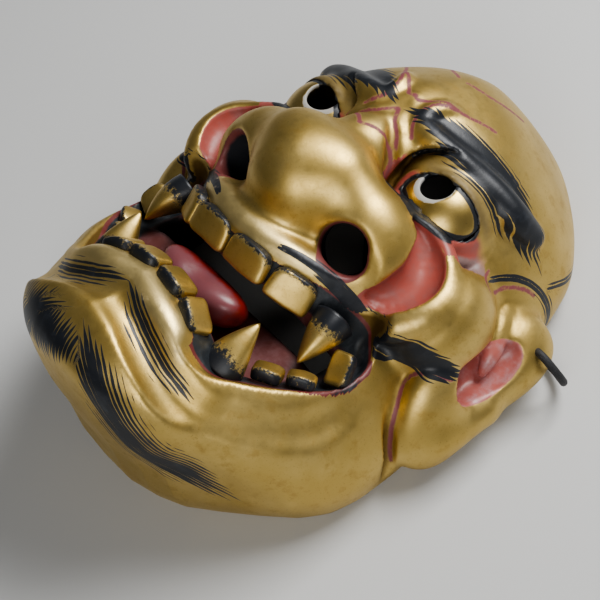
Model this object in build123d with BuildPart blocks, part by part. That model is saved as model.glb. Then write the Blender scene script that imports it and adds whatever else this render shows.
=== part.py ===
"""Carved demon mask with gilded teeth, fangs and eye plates, and a braided hanging cord.

Frame: the mask lies on its back rim with the face up. +Z points out of the face,
+Y points to the forehead and +X to the wearer's left. The rim plane is Z = 0.
All lengths are in millimetres.
"""

from build123d import *
import math
import os

# ---------------------------------------------------------------- driving dimensions
SIDES = {"left": 1, "right": -1}

# Outer form: half-ellipse sections across the face, from chin to forehead, with straight
# sides below the rim plane. Each row is (y, half width at the rim, height above the rim).
OUTER_SECTIONS = [
    (-103, 20, 62),
    (-100, 38, 80),
    (-90, 54, 88),
    (-72, 66, 86),
    (-50, 75, 81),
    (-20, 76, 74),
    (15, 76, 74),
    (42, 74, 77),
    (62, 69, 75),
    (80, 59, 61),
    (94, 44, 42),
    (103, 22, 16),
]
SIDE_DEPTH = 5

# Carved-out back. The jaw is left thick, so the mouth has a floor.
INNER_SECTIONS = [
    (-88, 24, 20),
    (-78, 42, 30),
    (-55, 58, 36),
    (-32, 64, 42),
    (-8, 67, 52),
    (18, 69, 60),
    (44, 67, 63),
    (64, 58, 60),
    (80, 46, 46),
    (92, 26, 24),
]

# Nose
NOSE_BULB = {"center": (0, 9, 76), "radii": (18, 17, 18)}
NOSE_BRIDGE = {"center": (0, 28, 74), "radii": (13, 18, 13)}
NOSE_SEPTUM = {"center": (0, 0, 72), "radii": (15, 13, 17)}
NOSE_WING = {"center": (30, 8, 60), "radii": (17, 18, 18)}
NOSTRIL_RADIUS = 8
NOSTRIL_AXIS = (0.5, -0.42, 0.75)
NOSTRIL_MOUTH = (32, -5, 76)
NOSTRIL_DEPTH = 46

# Brows, cheeks and jaw lobes
BROW_RADIUS = 7
BROW_POINTS = [(10, 50, 73), (24, 48, 73), (37, 52, 66), (54, 66, 42)]
CHEEK = {"center": (56, 11, 42), "radii": (19, 20, 20)}
CHEEK_GROOVE_RADIUS = 5
CHEEK_GROOVE_POINTS = [(38, 25, 67), (49, 17, 65), (52, 4, 63), (42, -6, 60)]
LOBE = {"center": (74, -14, 23), "radii": (8, 15, 19)}

# Eyes: gilded sheet-metal domes seated in round sockets behind an almond recess
EYE_CENTER = (31, 37, 52)
EYE_RADIUS = 18
EYE_PLATE_THICKNESS = 1.6
EYE_PLATE_DEPTH = 12
EYE_RECESS = {"center": (34, 36.5, 74), "radii": (18, 11, 12)}
PUPIL_RADIUS = 6.5

# Mouth: its edge, and its floor behind the lower teeth
LIP_RADIUS = 5
UPPER_LIP_POINTS = [(50, -11, 43), (38, -9, 56), (18, -15, 72), (0, -19, 74)]
LOWER_LIP_POINTS = [(50, -11, 43), (60, -31, 45), (52, -53, 56), (30, -67, 74), (0, -62, 83)]
MOUTH_EDGE = [(0, -25), (20, -21), (38, -14), (49, -16), (56, -30), (47, -50), (32, -62), (0, -57)]
MOUTH_FLOOR_Z = 49
MOUTH_TOP_Z = 105
THROAT_WIDTH = 84
THROAT_Y = (-39, -23)
THROAT_Z = (22, 60)
THROAT_CORNER = 6

# Scoop between the lower lip and the chin ridge
CHIN_SCOOP_RADIUS = 40
CHIN_SCOOP_CENTER = (0, -71, 124)

# Teeth: (name, middle of the gum line, middle of the edge, direction along the arch,
# width, thickness)
TOOTH_FILLET = 1.4
TOOTH_ROOT = 3
TEETH = [
    ("upper_tooth_inner", (9.8, -26.4, 74), (9.8, -32.6, 68.8), (1, 0.03, -0.02), 17.6, 5),
    ("upper_tooth_outer", (27, -22.5, 68), (26.5, -29.8, 63), (0.77, 0.23, -0.6), 15.6, 5),
    ("upper_tooth_back", (54, -27.5, 51), (48.5, -29.5, 50.5), (0.5, -0.77, -0.4), 11, 4.5),
    ("lower_tooth_inner", (7.2, -56, 84), (7.2, -51, 78), (1, -0.1, -0.1), 12.6, 5),
    ("lower_tooth_outer", (20, -59, 81), (20.6, -54, 75), (0.84, -0.36, -0.4), 12.2, 5),
    ("lower_tooth_front_molar", (42, -49.6, 59.2), (39.2, -46, 56.3), (0.77, 0.57, -0.26), 9, 4.5),
    ("lower_tooth_rear_molar", (49.6, -42, 55), (46.8, -39.2, 52.5), (0.78, 0.57, -0.26), 9, 4),
]
FANGS = [
    ("upper_fang", (39.5, -17.5, 57), (43.5, -38.5, 56), 6.6),
    ("lower_fang", (31.5, -61, 62.5), (33.4, -41.9, 72.4), 7.4),
]
FANG_TIP_RADIUS = 1.0
FANG_BELLY = 0.74

# Tongue, resting on the mouth floor
TONGUE = {"center": (0, -47, 56), "radii": (15, 8, 13)}

# Ears
EAR_CENTER = (74, 20, 21)
EAR_NORMAL = (0.66, -0.1, 0.74)
EAR_RADII = (23, 14)
EAR_THICKNESS = 13
EAR_EDGE_FILLET = 4
CONCHA_RADII = (14, 7)
CONCHA_OFFSET = -6
CONCHA_DEPTH = 7

# Hanging cord, tied through the ears. The route is one side's points, from the stopper
# knot behind the ear hole, out over the ear's edge, in under the rim and over the table.
CORD_DIAMETER = 3.0
CORD_HOLE_RADIUS = 2.6
CORD_HOLE_MOUTH = (79.6, 32.6, 25)
CORD_HOLE_LENGTH = 28
CORD_NOTCH = {"center": (72, 41), "size": (24, 8), "height": 6}
KNOT_RADII = (4.6, 4.2, 4.2)
CORD_LEFT_END = [
    (62.2, 35.2, 5.6),
    (71.3, 34.5, 15.6),
    (80.6, 32.5, 26.2),
    (90.0, 33.5, 18.0),
    (88.0, 37.5, 6.5),
    (77.0, 41.5, 2.4),
    (64.0, 41.0, 1.7),
]
CORD_SLACK = [
    (50, 33, 1.7),
    (38, 20, 1.7),
    (22, 12, 1.7),
    (5, 16, 1.7),
    (-9, 28, 1.7),
    (-22, 41, 1.7),
    (-38, 45, 1.7),
    (-52, 43.5, 1.7),
]
LEAST_BEND = 0.45

os.makedirs("parts", exist_ok=True)


def mirrored(point, side):
    """The point on the given side of the symmetry plane."""
    return (point[0] * side, *point[1:])


def ellipsoid(shape, side=1):
    """Algebra solid: a unit ball stretched to three radii, moved to its centre."""
    ball = scale(Solid.make_sphere(1), by=shape["radii"], mode=Mode.PRIVATE)
    return Pos(*mirrored(shape["center"], side)) * ball


def face_loft(sections):
    """Solid through half-ellipse sections on planes across the Y axis."""
    sketches = []
    for y, half_width, height in sections:
        with BuildSketch(Plane(origin=(0, y, 0), x_dir=(1, 0, 0), z_dir=(0, -1, 0))) as section:
            with BuildLine():
                arc = EllipticalCenterArc((0, 0), half_width, height, arc_size=180)
                Polyline(arc @ 1, (-half_width, -SIDE_DEPTH), (half_width, -SIDE_DEPTH), arc @ 0)
            make_face()
        sketches.append(section.sketch)
    with BuildPart() as body:
        loft(sketches)
    return body.part


def bead(points, radius, side=1):
    """Round-ended bead swept along a smooth curve through the points."""
    with BuildPart() as swept:
        with BuildLine() as path:
            Spline(*[mirrored(point, side) for point in points])
        with BuildSketch(Plane(origin=path.line @ 0, z_dir=path.line % 0)):
            Circle(radius)
        sweep()
        with Locations(path.line @ 0, path.line @ 1):
            Sphere(radius)
    return swept.part


def across_face(points):
    """The points from the left side to the middle, then on to their mirror images."""
    return points + [mirrored(point, -1) for point in points[-2::-1]]


def rod(end, axis, radius, length):
    """Cylinder that starts at its end point and runs back against the axis."""
    with BuildPart() as drilled:
        with BuildSketch(Plane(origin=end, z_dir=axis)):
            Circle(radius)
        extrude(amount=-length)
    return drilled.part


# ---------------------------------------------------------------- teeth and fangs
def tooth(gum, edge, along, width, thickness, side):
    """One flat tooth: a rounded block from its root in the gum to its biting edge."""
    down = Vector(*mirrored(edge, side)) - Vector(*mirrored(gum, side))
    across = Vector(*mirrored(along, side))
    length = down.length + TOOTH_ROOT
    middle = Vector(*mirrored(edge, side)) - down.normalized() * (length / 2)
    block_plane = Plane(origin=middle, x_dir=across, z_dir=across.cross(down))
    with BuildPart(block_plane) as block:
        Box(width, length, thickness)
        fillet(block.edges(), TOOTH_FILLET)
    return block.part


def fang(base, tip, radius, side):
    """One fang: a tapered turned form with a blunt tip."""
    start = Vector(*mirrored(base, side))
    end = Vector(*mirrored(tip, side))
    length = (end - start).length
    across = Plane(origin=start, z_dir=end - start)
    with BuildPart() as turned:
        with BuildSketch(Plane(origin=start, x_dir=across.x_dir, z_dir=across.y_dir * -1)):
            with BuildLine():
                foot = Line((0, 0), (radius, 0))
                flank = Spline(foot @ 1, (radius * FANG_BELLY, length / 2), (FANG_TIP_RADIUS, length))
                Polyline(flank @ 1, (0, length), (0, 0))
            make_face()
        revolve(axis=Axis(start, end - start))
    return turned.part


teeth = {}
for side_name, side in SIDES.items():
    for name, gum, edge, along, width, thickness in TEETH:
        teeth[f"{name}_{side_name}"] = tooth(gum, edge, along, width, thickness, side)
    for name, base, tip, radius in FANGS:
        teeth[f"{name}_{side_name}"] = fang(base, tip, radius, side)
for name, piece in teeth.items():
    piece.label = name
    export_step(piece, f"parts/{name}.step")

# ---------------------------------------------------------------- tongue
with BuildPart() as tongue:
    add(ellipsoid(TONGUE))
    for piece in teeth.values():
        add(piece, mode=Mode.SUBTRACT)
    split(bisect_by=Plane.XY.offset(MOUTH_FLOOR_Z))
tongue.part.label = "tongue"
export_step(tongue.part, "parts/tongue.step")

# ---------------------------------------------------------------- carved shell
with BuildPart() as mask_shell:
    add(face_loft(OUTER_SECTIONS))
    # Nose, cheeks, jaw lobes, brows and lips
    add(ellipsoid(NOSE_BULB))
    add(ellipsoid(NOSE_BRIDGE))
    add(ellipsoid(NOSE_SEPTUM))
    add(bead(across_face(UPPER_LIP_POINTS), LIP_RADIUS))
    add(bead(across_face(LOWER_LIP_POINTS), LIP_RADIUS))
    for side in SIDES.values():
        for shape in (NOSE_WING, CHEEK, LOBE):
            add(ellipsoid(shape, side))
        add(bead(BROW_POINTS, BROW_RADIUS, side))
    # Scoop over the chin, and the crescent grooves beside the nose
    with Locations(CHIN_SCOOP_CENTER):
        Sphere(CHIN_SCOOP_RADIUS, mode=Mode.SUBTRACT)
    for side in SIDES.values():
        add(bead(CHEEK_GROOVE_POINTS, CHEEK_GROOVE_RADIUS, side), mode=Mode.SUBTRACT)
    # Ears with their hollows
    for side in SIDES.values():
        ear_plane = Plane(
            origin=mirrored(EAR_CENTER, side), x_dir=(0, 1, 0), z_dir=mirrored(EAR_NORMAL, side)
        )
        with BuildPart(mode=Mode.PRIVATE) as ear:
            with BuildSketch(ear_plane):
                Ellipse(*EAR_RADII)
            extrude(amount=-EAR_THICKNESS)
            fillet(ear.faces().sort_by(Axis(ear_plane.origin, ear_plane.z_dir))[-1].edges(), EAR_EDGE_FILLET)
        add(ear.part)
        with BuildSketch(ear_plane):
            with Locations((CONCHA_OFFSET, 0)):
                Ellipse(*CONCHA_RADII)
        extrude(amount=-CONCHA_DEPTH, mode=Mode.SUBTRACT)
    # Carved-out back
    add(face_loft(INNER_SECTIONS), mode=Mode.SUBTRACT)
    # Mouth pocket over its floor, and the throat behind the upper teeth
    with BuildSketch(Plane.XY.offset(MOUTH_FLOOR_Z)):
        with BuildLine():
            Spline(*MOUTH_EDGE, *[mirrored(point, -1) for point in MOUTH_EDGE[-2:0:-1]], periodic=True)
        make_face()
    extrude(amount=MOUTH_TOP_Z - MOUTH_FLOOR_Z, mode=Mode.SUBTRACT)
    with BuildSketch(Plane.XY.offset(THROAT_Z[0])):
        with Locations((0, sum(THROAT_Y) / 2)):
            RectangleRounded(THROAT_WIDTH, THROAT_Y[1] - THROAT_Y[0], THROAT_CORNER)
    extrude(amount=THROAT_Z[1] - THROAT_Z[0], mode=Mode.SUBTRACT)
    # Eye sockets, nostrils, cord holes and the notches that let the cord in under the rim
    for side in SIDES.values():
        add(ellipsoid(EYE_RECESS, side), mode=Mode.SUBTRACT)
        with Locations(mirrored(EYE_CENTER, side)):
            Sphere(EYE_RADIUS, mode=Mode.SUBTRACT)
        nostril_mouth = mirrored(NOSTRIL_MOUTH, side)
        nostril_axis = mirrored(NOSTRIL_AXIS, side)
        add(rod(nostril_mouth, nostril_axis, NOSTRIL_RADIUS, NOSTRIL_DEPTH), mode=Mode.SUBTRACT)
        hole_mouth = mirrored(CORD_HOLE_MOUTH, side)
        hole_axis = mirrored(EAR_NORMAL, side)
        add(rod(hole_mouth, hole_axis, CORD_HOLE_RADIUS, CORD_HOLE_LENGTH), mode=Mode.SUBTRACT)
        with BuildSketch(Plane.XY):
            with Locations(mirrored(CORD_NOTCH["center"], side)):
                Rectangle(*CORD_NOTCH["size"])
        extrude(amount=CORD_NOTCH["height"], mode=Mode.SUBTRACT)
    # Sockets for the teeth, fangs and tongue, then the flat rim
    for piece in (*teeth.values(), tongue.part):
        add(piece, mode=Mode.SUBTRACT)
    split(bisect_by=Plane.XY)
mask_shell.part.label = "mask_shell"
export_step(mask_shell.part, "parts/mask_shell.step")
print("shell solids", len(mask_shell.part.solids()), "volume", mask_shell.part.volume)

# ---------------------------------------------------------------- eye plates
for side_name, side in SIDES.items():
    with BuildPart() as eye_plate:
        with Locations(mirrored(EYE_CENTER, side)):
            Sphere(EYE_RADIUS)
            Sphere(EYE_RADIUS - EYE_PLATE_THICKNESS, mode=Mode.SUBTRACT)
        split(bisect_by=Plane.XY.offset(EYE_CENTER[2] + EYE_RADIUS - EYE_PLATE_DEPTH))
        with BuildSketch(Plane.XY.offset(EYE_CENTER[2])):
            with Locations(mirrored(EYE_CENTER[:2], side)):
                Circle(PUPIL_RADIUS)
        extrude(amount=2 * EYE_RADIUS, mode=Mode.SUBTRACT)
    eye_plate.part.label = f"eye_plate_{side_name}"
    export_step(eye_plate.part, f"parts/eye_plate_{side_name}.step")

# ---------------------------------------------------------------- hanging cord and knots
right_end = [mirrored(point, -1) for point in reversed(CORD_LEFT_END)]
route = [Vector(*point) for point in CORD_LEFT_END + CORD_SLACK + right_end]
runs = [after - before for before, after in zip(route, route[1:])]
radii = []
for before, after in zip(runs, runs[1:]):
    half_turn = math.radians(before.get_angle(after)) / 2
    radii.append(LEAST_BEND * min(before.length, after.length) / math.tan(half_turn))
print("cord runs", [round(run.length, 1) for run in runs])
print("cord bend radii", [round(radius, 1) for radius in radii])

with BuildPart() as hanging_cord:
    with BuildLine() as cord_path:
        FilletPolyline(*route, radius=radii)
    with BuildSketch(Plane(origin=cord_path.line @ 0, z_dir=cord_path.line % 0)):
        Circle(CORD_DIAMETER / 2)
    sweep()
cord_length = sum(edge.length for edge in cord_path.edges())
section_area = math.pi * CORD_DIAMETER**2 / 4
print("cord length", cord_length, "volume over section times length",
      hanging_cord.part.volume / (section_area * cord_length))
hanging_cord.part.label = "hanging_cord"
export_step(hanging_cord.part, "parts/hanging_cord.step")

for side_name, side in SIDES.items():
    with BuildPart() as knot:
        add(ellipsoid({"center": CORD_LEFT_END[0], "radii": KNOT_RADII}, side))
    knot.part.label = f"cord_knot_{side_name}"
    export_step(knot.part, f"parts/cord_knot_{side_name}.step")
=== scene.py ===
"""Gilded demon mask: carved shell, gilded teeth and fangs, eye plates, tongue and cord.

The carving is one distance field in millimetres, worked out on the left half and mirrored.
"""

import math

import bpy
import numpy as np
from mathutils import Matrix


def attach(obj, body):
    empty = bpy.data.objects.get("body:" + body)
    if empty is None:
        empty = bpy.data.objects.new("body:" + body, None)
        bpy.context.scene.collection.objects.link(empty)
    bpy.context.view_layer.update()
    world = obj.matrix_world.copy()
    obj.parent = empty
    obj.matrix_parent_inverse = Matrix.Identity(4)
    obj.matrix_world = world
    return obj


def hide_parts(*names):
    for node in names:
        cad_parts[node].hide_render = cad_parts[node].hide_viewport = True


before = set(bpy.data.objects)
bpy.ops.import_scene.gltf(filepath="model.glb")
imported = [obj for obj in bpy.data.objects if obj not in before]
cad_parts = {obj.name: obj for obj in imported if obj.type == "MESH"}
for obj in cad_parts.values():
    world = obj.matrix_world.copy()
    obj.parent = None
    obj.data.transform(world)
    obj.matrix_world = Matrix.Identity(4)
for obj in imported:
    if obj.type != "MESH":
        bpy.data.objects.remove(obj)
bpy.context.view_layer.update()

import openvdb
from mathutils import Matrix, Vector
from mathutils.bvhtree import BVHTree

MM = 0.001
VOX = 1.0  # grid step of the carving, in millimetres

# ---------------------------------------------------------------- camera
camera = bpy.data.objects.new("camera", bpy.data.cameras.new("camera"))
bpy.context.collection.objects.link(camera)
camera.data.lens = 90
camera.data.clip_start = 0.01
back = Vector((0.5364, -0.2698, 0.7997)).normalized()
right = Vector((0.6261, 0.7626, -0.1627)).normalized()
up = back.cross(right)
camera.matrix_world = Matrix.Translation((0.2946, -0.1574, 0.4585)) @ Matrix((right, up, back)).transposed().to_4x4()
bpy.context.scene.camera = camera

# ---------------------------------------------------------------- hanging cord
# From the knot behind the left ear hole, out over the ear's edge and back under the rim, in millimetres
CORD_LEFT = [
    (62.2, 35.2, 5.6), (71.3, 34.5, 15.6), (80.6, 32.5, 26.2), (90.0, 33.5, 18.0),
    (88.0, 37.5, 6.5), (77.0, 41.5, 2.4), (64.0, 41.0, 1.7),
]
# The slack part behind the mask, from the left side to the right
CORD_SLACK = [
    (50, 33, 1.7), (38, 20, 1.7), (22, 12, 1.7), (5, 16, 1.7),
    (-9, 28, 1.7), (-22, 41, 1.7), (-38, 45, 1.7), (-52, 43.5, 1.7),
]
CORD_RADIUS = 0.0015  # in metres
cord_route = CORD_LEFT + CORD_SLACK + [(-x, y, z) for x, y, z in reversed(CORD_LEFT)]
cord_curve = bpy.data.curves.new("hanging_cord_line", "CURVE")
cord_curve.dimensions = "3D"
cord_spline = cord_curve.splines.new("NURBS")
cord_spline.points.add(len(cord_route) - 1)
for point, place in zip(cord_spline.points, cord_route):
    point.co = (*[value * MM for value in place], 1)
    point.radius = CORD_RADIUS
cord_spline.order_u = 3
cord_spline.use_endpoint_u = True
cord_curve.bevel_depth = 1.0  # times each point's radius
cord_curve.bevel_resolution = 3
cord_curve.use_fill_caps = True
cord = bpy.data.objects.new("braided_cord", cord_curve)
bpy.context.collection.objects.link(cord)
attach(cord, "root")
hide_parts("hanging_cord")


# ---------------------------------------------------------------- distance shapes
def smooth_min(a, b, k):
    """The lower of two distances, with a fillet about k wide where they cross."""
    h = np.clip(0.5 + 0.5 * (b - a) / k, 0, 1)
    return b + (a - b) * h - k * h * (1 - h)


def smooth_max(a, b, k):
    return -smooth_min(-a, -b, k)


def curve_through(points, step=3.0):
    """Points of a smooth curve through the given ones, about a step apart."""
    p = np.array(points, float)
    if len(p) < 3:
        return p
    p = np.vstack([2 * p[0] - p[1], p, 2 * p[-1] - p[-2]])
    out = []
    for a, b, c, d in zip(p, p[1:], p[2:], p[3:]):
        count = max(1, int(np.ceil(np.linalg.norm((c - b)[:3]) / step)))
        t = (np.arange(count) / count)[:, None]
        out.append(0.5 * (2 * b + (c - a) * t + (2 * a - 5 * b + 4 * c - d) * t**2 + (3 * b - a - 3 * c + d) * t**3))
    return np.vstack([*out, p[-2][None]])


def ball(center, radii, axes=None, power=2.0):
    """Ellipsoid or superellipsoid, with its own axes where they are given as rows."""
    c = np.array(center, float)
    r = np.array(radii, float)

    def distance(x, y, z):
        q = [x - c[0], y - c[1], z - c[2]]
        if axes is not None:
            q = [q[0] * a[0] + q[1] * a[1] + q[2] * a[2] for a in axes]
        s = [abs(v) / n for v, n in zip(q, r)]
        level = (s[0]**power + s[1]**power + s[2]**power) ** (1 / power)
        slope = np.sqrt((s[0] / r[0])**2 + (s[1] / r[1])**2 + (s[2] / r[2])**2) + 1e-9
        size = np.sqrt(s[0]**2 + s[1]**2 + s[2]**2) + 1e-9
        return (level - 1) * size / slope

    reach = r.max() if axes is not None else r
    return distance, c - reach, c + reach


def tube(points, radii, step=3.0):
    """Round tube along a smooth curve; radii is one number or one for each point."""
    if np.isscalar(radii):
        radii = [radii] * len(points)
    p = curve_through([(*point, radius) for point, radius in zip(points, radii)], step)

    def distance(x, y, z):
        best = None
        for a, b in zip(p, p[1:]):
            v = (b - a)[:3]
            t = ((x - a[0]) * v[0] + (y - a[1]) * v[1] + (z - a[2]) * v[2]) / max(v @ v, 1e-9)
            t = np.clip(t, 0, 1)
            d = np.sqrt((x - a[0] - t * v[0])**2 + (y - a[1] - t * v[1])**2 + (z - a[2] - t * v[2])**2)
            d = d - (a[3] + t * (b[3] - a[3]))
            best = d if best is None else np.minimum(best, d)
        return best

    reach = p[:, 3].max()
    return distance, p[:, :3].min(0) - reach, p[:, :3].max(0) + reach


def outline(points, x, y):
    """Signed distance in plan to a closed outline of points, negative inside."""
    p = np.array(points, float)[:, :2]
    best = np.full(np.broadcast(x, y).shape, 1e9)
    inside = np.zeros(best.shape, bool)
    for a, b in zip(p, np.roll(p, -1, 0)):
        v = b - a
        t = np.clip(((x - a[0]) * v[0] + (y - a[1]) * v[1]) / max(v @ v, 1e-9), 0, 1)
        best = np.minimum(best, (x - a[0] - t * v[0])**2 + (y - a[1] - t * v[1])**2)
        if a[1] != b[1]:
            crosses = ((a[1] > y) != (b[1] > y)) & (x < (b[0] - a[0]) * (y - a[1]) / (b[1] - a[1]) + a[0])
            inside ^= crosses
    return np.where(inside, -1, 1) * np.sqrt(best)


class Clay:
    """A block of distances on the left half of the mask, changed shape by shape."""

    def __init__(self):
        self.axes = [np.arange(0, 100.5, VOX), np.arange(-118, 114.5, VOX), np.arange(-4, 106.5, VOX)]
        self.x, self.y, self.z = np.meshgrid(*self.axes, indexing="ij", sparse=True)
        self.d = None

    def near(self, lo, hi, margin):
        """Slices of the grid that hold a box and a margin round it."""
        cut = []
        for axis, a, b in zip(self.axes, lo, hi):
            cut.append(slice(np.searchsorted(axis, a - margin), np.searchsorted(axis, b + margin) + 1))
        return tuple(cut)

    def shaped(self, shape, margin):
        """The slices round a shape, and its distances there."""
        distance, lo, hi = shape
        s = self.near(lo, hi, margin)
        return s, distance(self.x[s[0]], self.y[:, s[1]], self.z[:, :, s[2]])

    def add(self, shape, k):
        """Put a shape on, with a fillet k wide."""
        s, d = self.shaped(shape, k + 2)
        self.d[s] = smooth_min(self.d[s], d, k)

    def cut(self, shape, k):
        """Take a shape away, with an edge rounded k wide."""
        s, d = self.shaped(shape, k + 2)
        self.d[s] = smooth_max(self.d[s], -d, k)


def dome(clay, rows):
    """Distance to a form through sections (y, half width, height, power) across the face."""
    p = curve_through(rows, 2.0)
    w, h, power = (np.interp(clay.axes[1], p[:, 0], p[:, i])[None, :, None] for i in (1, 2, 3))
    past = np.maximum(p[0, 0] - clay.y, clay.y - p[-1, 0]).clip(0)
    level = ((clay.x / w)**power + (clay.z.clip(0) / h)**power) ** (1 / power) - 1 + past / 2
    slope = np.gradient(level, VOX)
    return level / np.sqrt(slope[0]**2 + slope[1]**2 + slope[2]**2 + 1e-7)


# ---------------------------------------------------------------- the carving
# Sections of the front: y, half width, height and power of the superellipse
OUTER = [
    (-112, 52, 82, 1.9), (-100, 58, 86, 1.9), (-90, 63, 88, 1.9), (-75, 70, 86, 1.95), (-55, 76, 82.5, 2.0),
    (-35, 77, 77, 1.95), (-10, 76, 73, 1.75), (15, 76, 73, 1.75), (40, 73, 76, 1.75), (58, 68, 76, 1.75),
    (70, 63, 71, 1.7), (82, 53, 63.5, 1.65), (92, 41.5, 52, 1.6), (99, 31, 37, 1.7), (103, 22, 24, 1.8),
    (105.5, 13, 11, 1.9),
]
# Outline of the chin and the jaw seen from the front
CHIN_PLAN = [
    (-60, 130), (-24, -96.5), (-13, -99), (0, -99.5), (13, -99), (24, -96), (33, -92), (43, -84.5),
    (54, -75.5), (64, -66.5), (72, -56.5), (77, -45), (80, -25), (95, 0), (95, 130),
]
# Sections of the hollow behind the face, as for the front
INNER = [
    (-88, 24, 20, 2), (-78, 42, 30, 2), (-55, 58, 36, 2), (-32, 64, 43, 2), (-8, 64, 54, 2),
    (18, 65, 61, 2), (44, 64, 64, 2), (64, 57, 60, 2), (80, 46, 46, 2), (92, 26, 24, 2), (96, 8, 6, 2),
]
# Edges of the mouth, from the middle to the left corner
LOWER_LIP = [
    (0, -58, 88.5), (12.6, -60.5, 88.5), (19.3, -62, 86.6), (26, -64.5, 82), (30, -66, 76.4), (36, -65, 70),
    (42, -58, 64), (50, -50, 60), (56, -40, 54), (58.5, -31, 50), (56.5, -20, 47), (50, -13, 47),
]
UPPER_LIP = [
    (0, -24, 79), (10, -23, 78), (21, -19, 75), (30, -16, 68), (38, -12.4, 60), (46, -10, 51), (50, -13, 47),
]
# Left eye: the ball's centre and radius, then its axes outwards, along the lid and upwards
EYE = np.array((31, 37, 52.0))
EYE_R = 18.0
EYE_N = np.array((0.3, -0.12, 0.94)) / math.sqrt(0.988)
EYE_U = np.array((0.885, 0.301, -0.244))
EYE_U = EYE_U - EYE_N * (EYE_U @ EYE_N)
EYE_U = EYE_U / np.linalg.norm(EYE_U)
EYE_V = np.cross(EYE_N, EYE_U)
# Edge of the lids on the ball, along and up
EYE_OUTLINE = [
    (-15.5, -1), (-10.5, -6), (-4.3, -8.6), (2.3, -9.8), (7.8, -9.2), (12.2, -6.9), (14, -3.6), (13, -0.5),
    (10.5, 2), (6.5, 4.3), (1, 6), (-5, 7), (-10.5, 6), (-14.5, 3),
]

WALL = 5.5
ROLL, ROLL_HEIGHT = 8, 22

# front, with its sides rolled in towards the back rim
clay = Clay()
body = dome(clay, OUTER)
plan = outline(CHIN_PLAN, clay.x[:, :, 0], clay.y[:, :, 0])[:, :, None]
roll = ROLL * (1 - clay.z / ROLL_HEIGHT).clip(0, 1.1)**2
clay.d = smooth_max(body + roll * (clay.z < ROLL_HEIGHT), plan + roll * 0.9, 8)

# chin boss, its scoop and the hollow along the jaw
clay.add(ball((0, -80, 60), (42, 20.5, 31), power=2.2), 5)
JAW_HOLLOW = [
    (0, -71, 97.5), (15, -72.5, 94), (30, -76, 87), (45, -77.5, 76.5),
    (58, -70, 66.5), (68.5, -54, 57), (71, -38, 51.5), (70, -26, 50),
]
clay.cut(tube(JAW_HOLLOW, [10, 10, 10.5, 11, 12, 12.5, 12, 8]), 2)

# cheeks and jaw lobes
clay.add(ball((54.5, 11, 41), (19.5, 21, 20)), 6)
LOBE_AXES = [(0.17, -0.59, -0.79), (0.385, 0.778, -0.498), (0.907, -0.218, 0.36)]
clay.add(ball((72.5, -10.5, 23.5), (20, 13, 8), LOBE_AXES, 2.3), 3)

# ears: body, hollow, bridge to the lobe and front fold, then the grooves before and behind
EAR_AXES = [(0.1, 0.99, 0.05), (0.74, -0.05, -0.66), (0.66, -0.1, 0.74)]
clay.add(ball((69.5, 20, 18.5), (24, 15, 11.5), EAR_AXES, 2.4), 4)
CONCHA = ball((76.5, 13, 29.5), (16, 8, 9), EAR_AXES)
clay.cut(CONCHA, 1.5)
clay.add(tube([(77, -11, 17), (79, -3, 16), (79, 6, 16)], [6, 5.5, 6]), 6)
clay.add(tube([(63.5, 33, 30), (67, 27, 31), (71.5, 19.5, 28.5), (73, 13.5, 25)], [3.5, 4, 3.6, 1.8]), 1.5)
clay.cut(tube([(64, -12, 44), (68.5, -23, 33), (73, -31, 16), (75, -35, 0)], [1.4, 2, 2.6, 3]), 1.2)
clay.cut(tube([(70, 34.5, 36), (77, 31, 31), (82, 23, 26), (84, 15, 22)], [0.6, 1.6, 1.8, 0.5]), 1.5)

# forehead hollow, brows, their inner folds, the frown and the dip between brow and lid
clay.cut(tube([(22, 66, 84), (38, 69, 78), (52, 74, 62)], [9, 12, 9]), 8)
BROW = [(12, 48.5, 73), (18, 48, 71), (25, 49, 67.5), (33, 51.5, 61.5), (41, 53, 56.5), (48, 54, 51), (53, 57, 42)]
clay.add(tube(BROW, [4.5, 5.5, 6, 6.3, 6.3, 6, 5]), 2.5)
clay.add(tube([(9.5, 46, 72.5), (8.5, 53, 74), (10.5, 60, 72.5), (16, 64, 67)], [3.2, 3.6, 3.4, 2]), 1.5)
clay.add(tube([(3, 46, 73.5), (7, 41, 73.5), (9, 36, 71.5)], [3, 3.2, 2.6]), 1.5)
clay.add(tube([(0, 55, 74), (5, 50, 73), (9.5, 41.5, 71)], [2.6, 3, 2]), 1.5)
clay.cut(ball((31, 38, 74), (18, 9, 9), (EYE_U, EYE_V, EYE_N)), 4)

# eyes: a lid over the ball, then the opening with a sloping edge
clay.add(ball(EYE, (EYE_R + 1.0,) * 3), 2.5)
q = [clay.x - EYE[0], clay.y - EYE[1], clay.z - EYE[2]]
radius = np.sqrt(q[0]**2 + q[1]**2 + q[2]**2)
reach = EYE_R / np.maximum(radius, 4)
eye_u = (q[0] * EYE_U[0] + q[1] * EYE_U[1] + q[2] * EYE_U[2]) * reach
eye_v = (q[0] * EYE_V[0] + q[1] * EYE_V[1] + q[2] * EYE_V[2]) * reach
facing = q[0] * EYE_N[0] + q[1] * EYE_N[1] + q[2] * EYE_N[2]
eye_smooth = curve_through(EYE_OUTLINE + EYE_OUTLINE[:1], 1.5)
lid = outline(eye_smooth, eye_u, eye_v)
opening = lid - 1.1 * (radius - EYE_R).clip(0, 6)
opening = np.maximum(opening, EYE_R - 0.4 - radius)
opening = smooth_max(np.maximum(opening, 4 - facing), radius - EYE_R - 7, 3)
clay.d = smooth_max(clay.d, -opening, 1.0)

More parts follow.
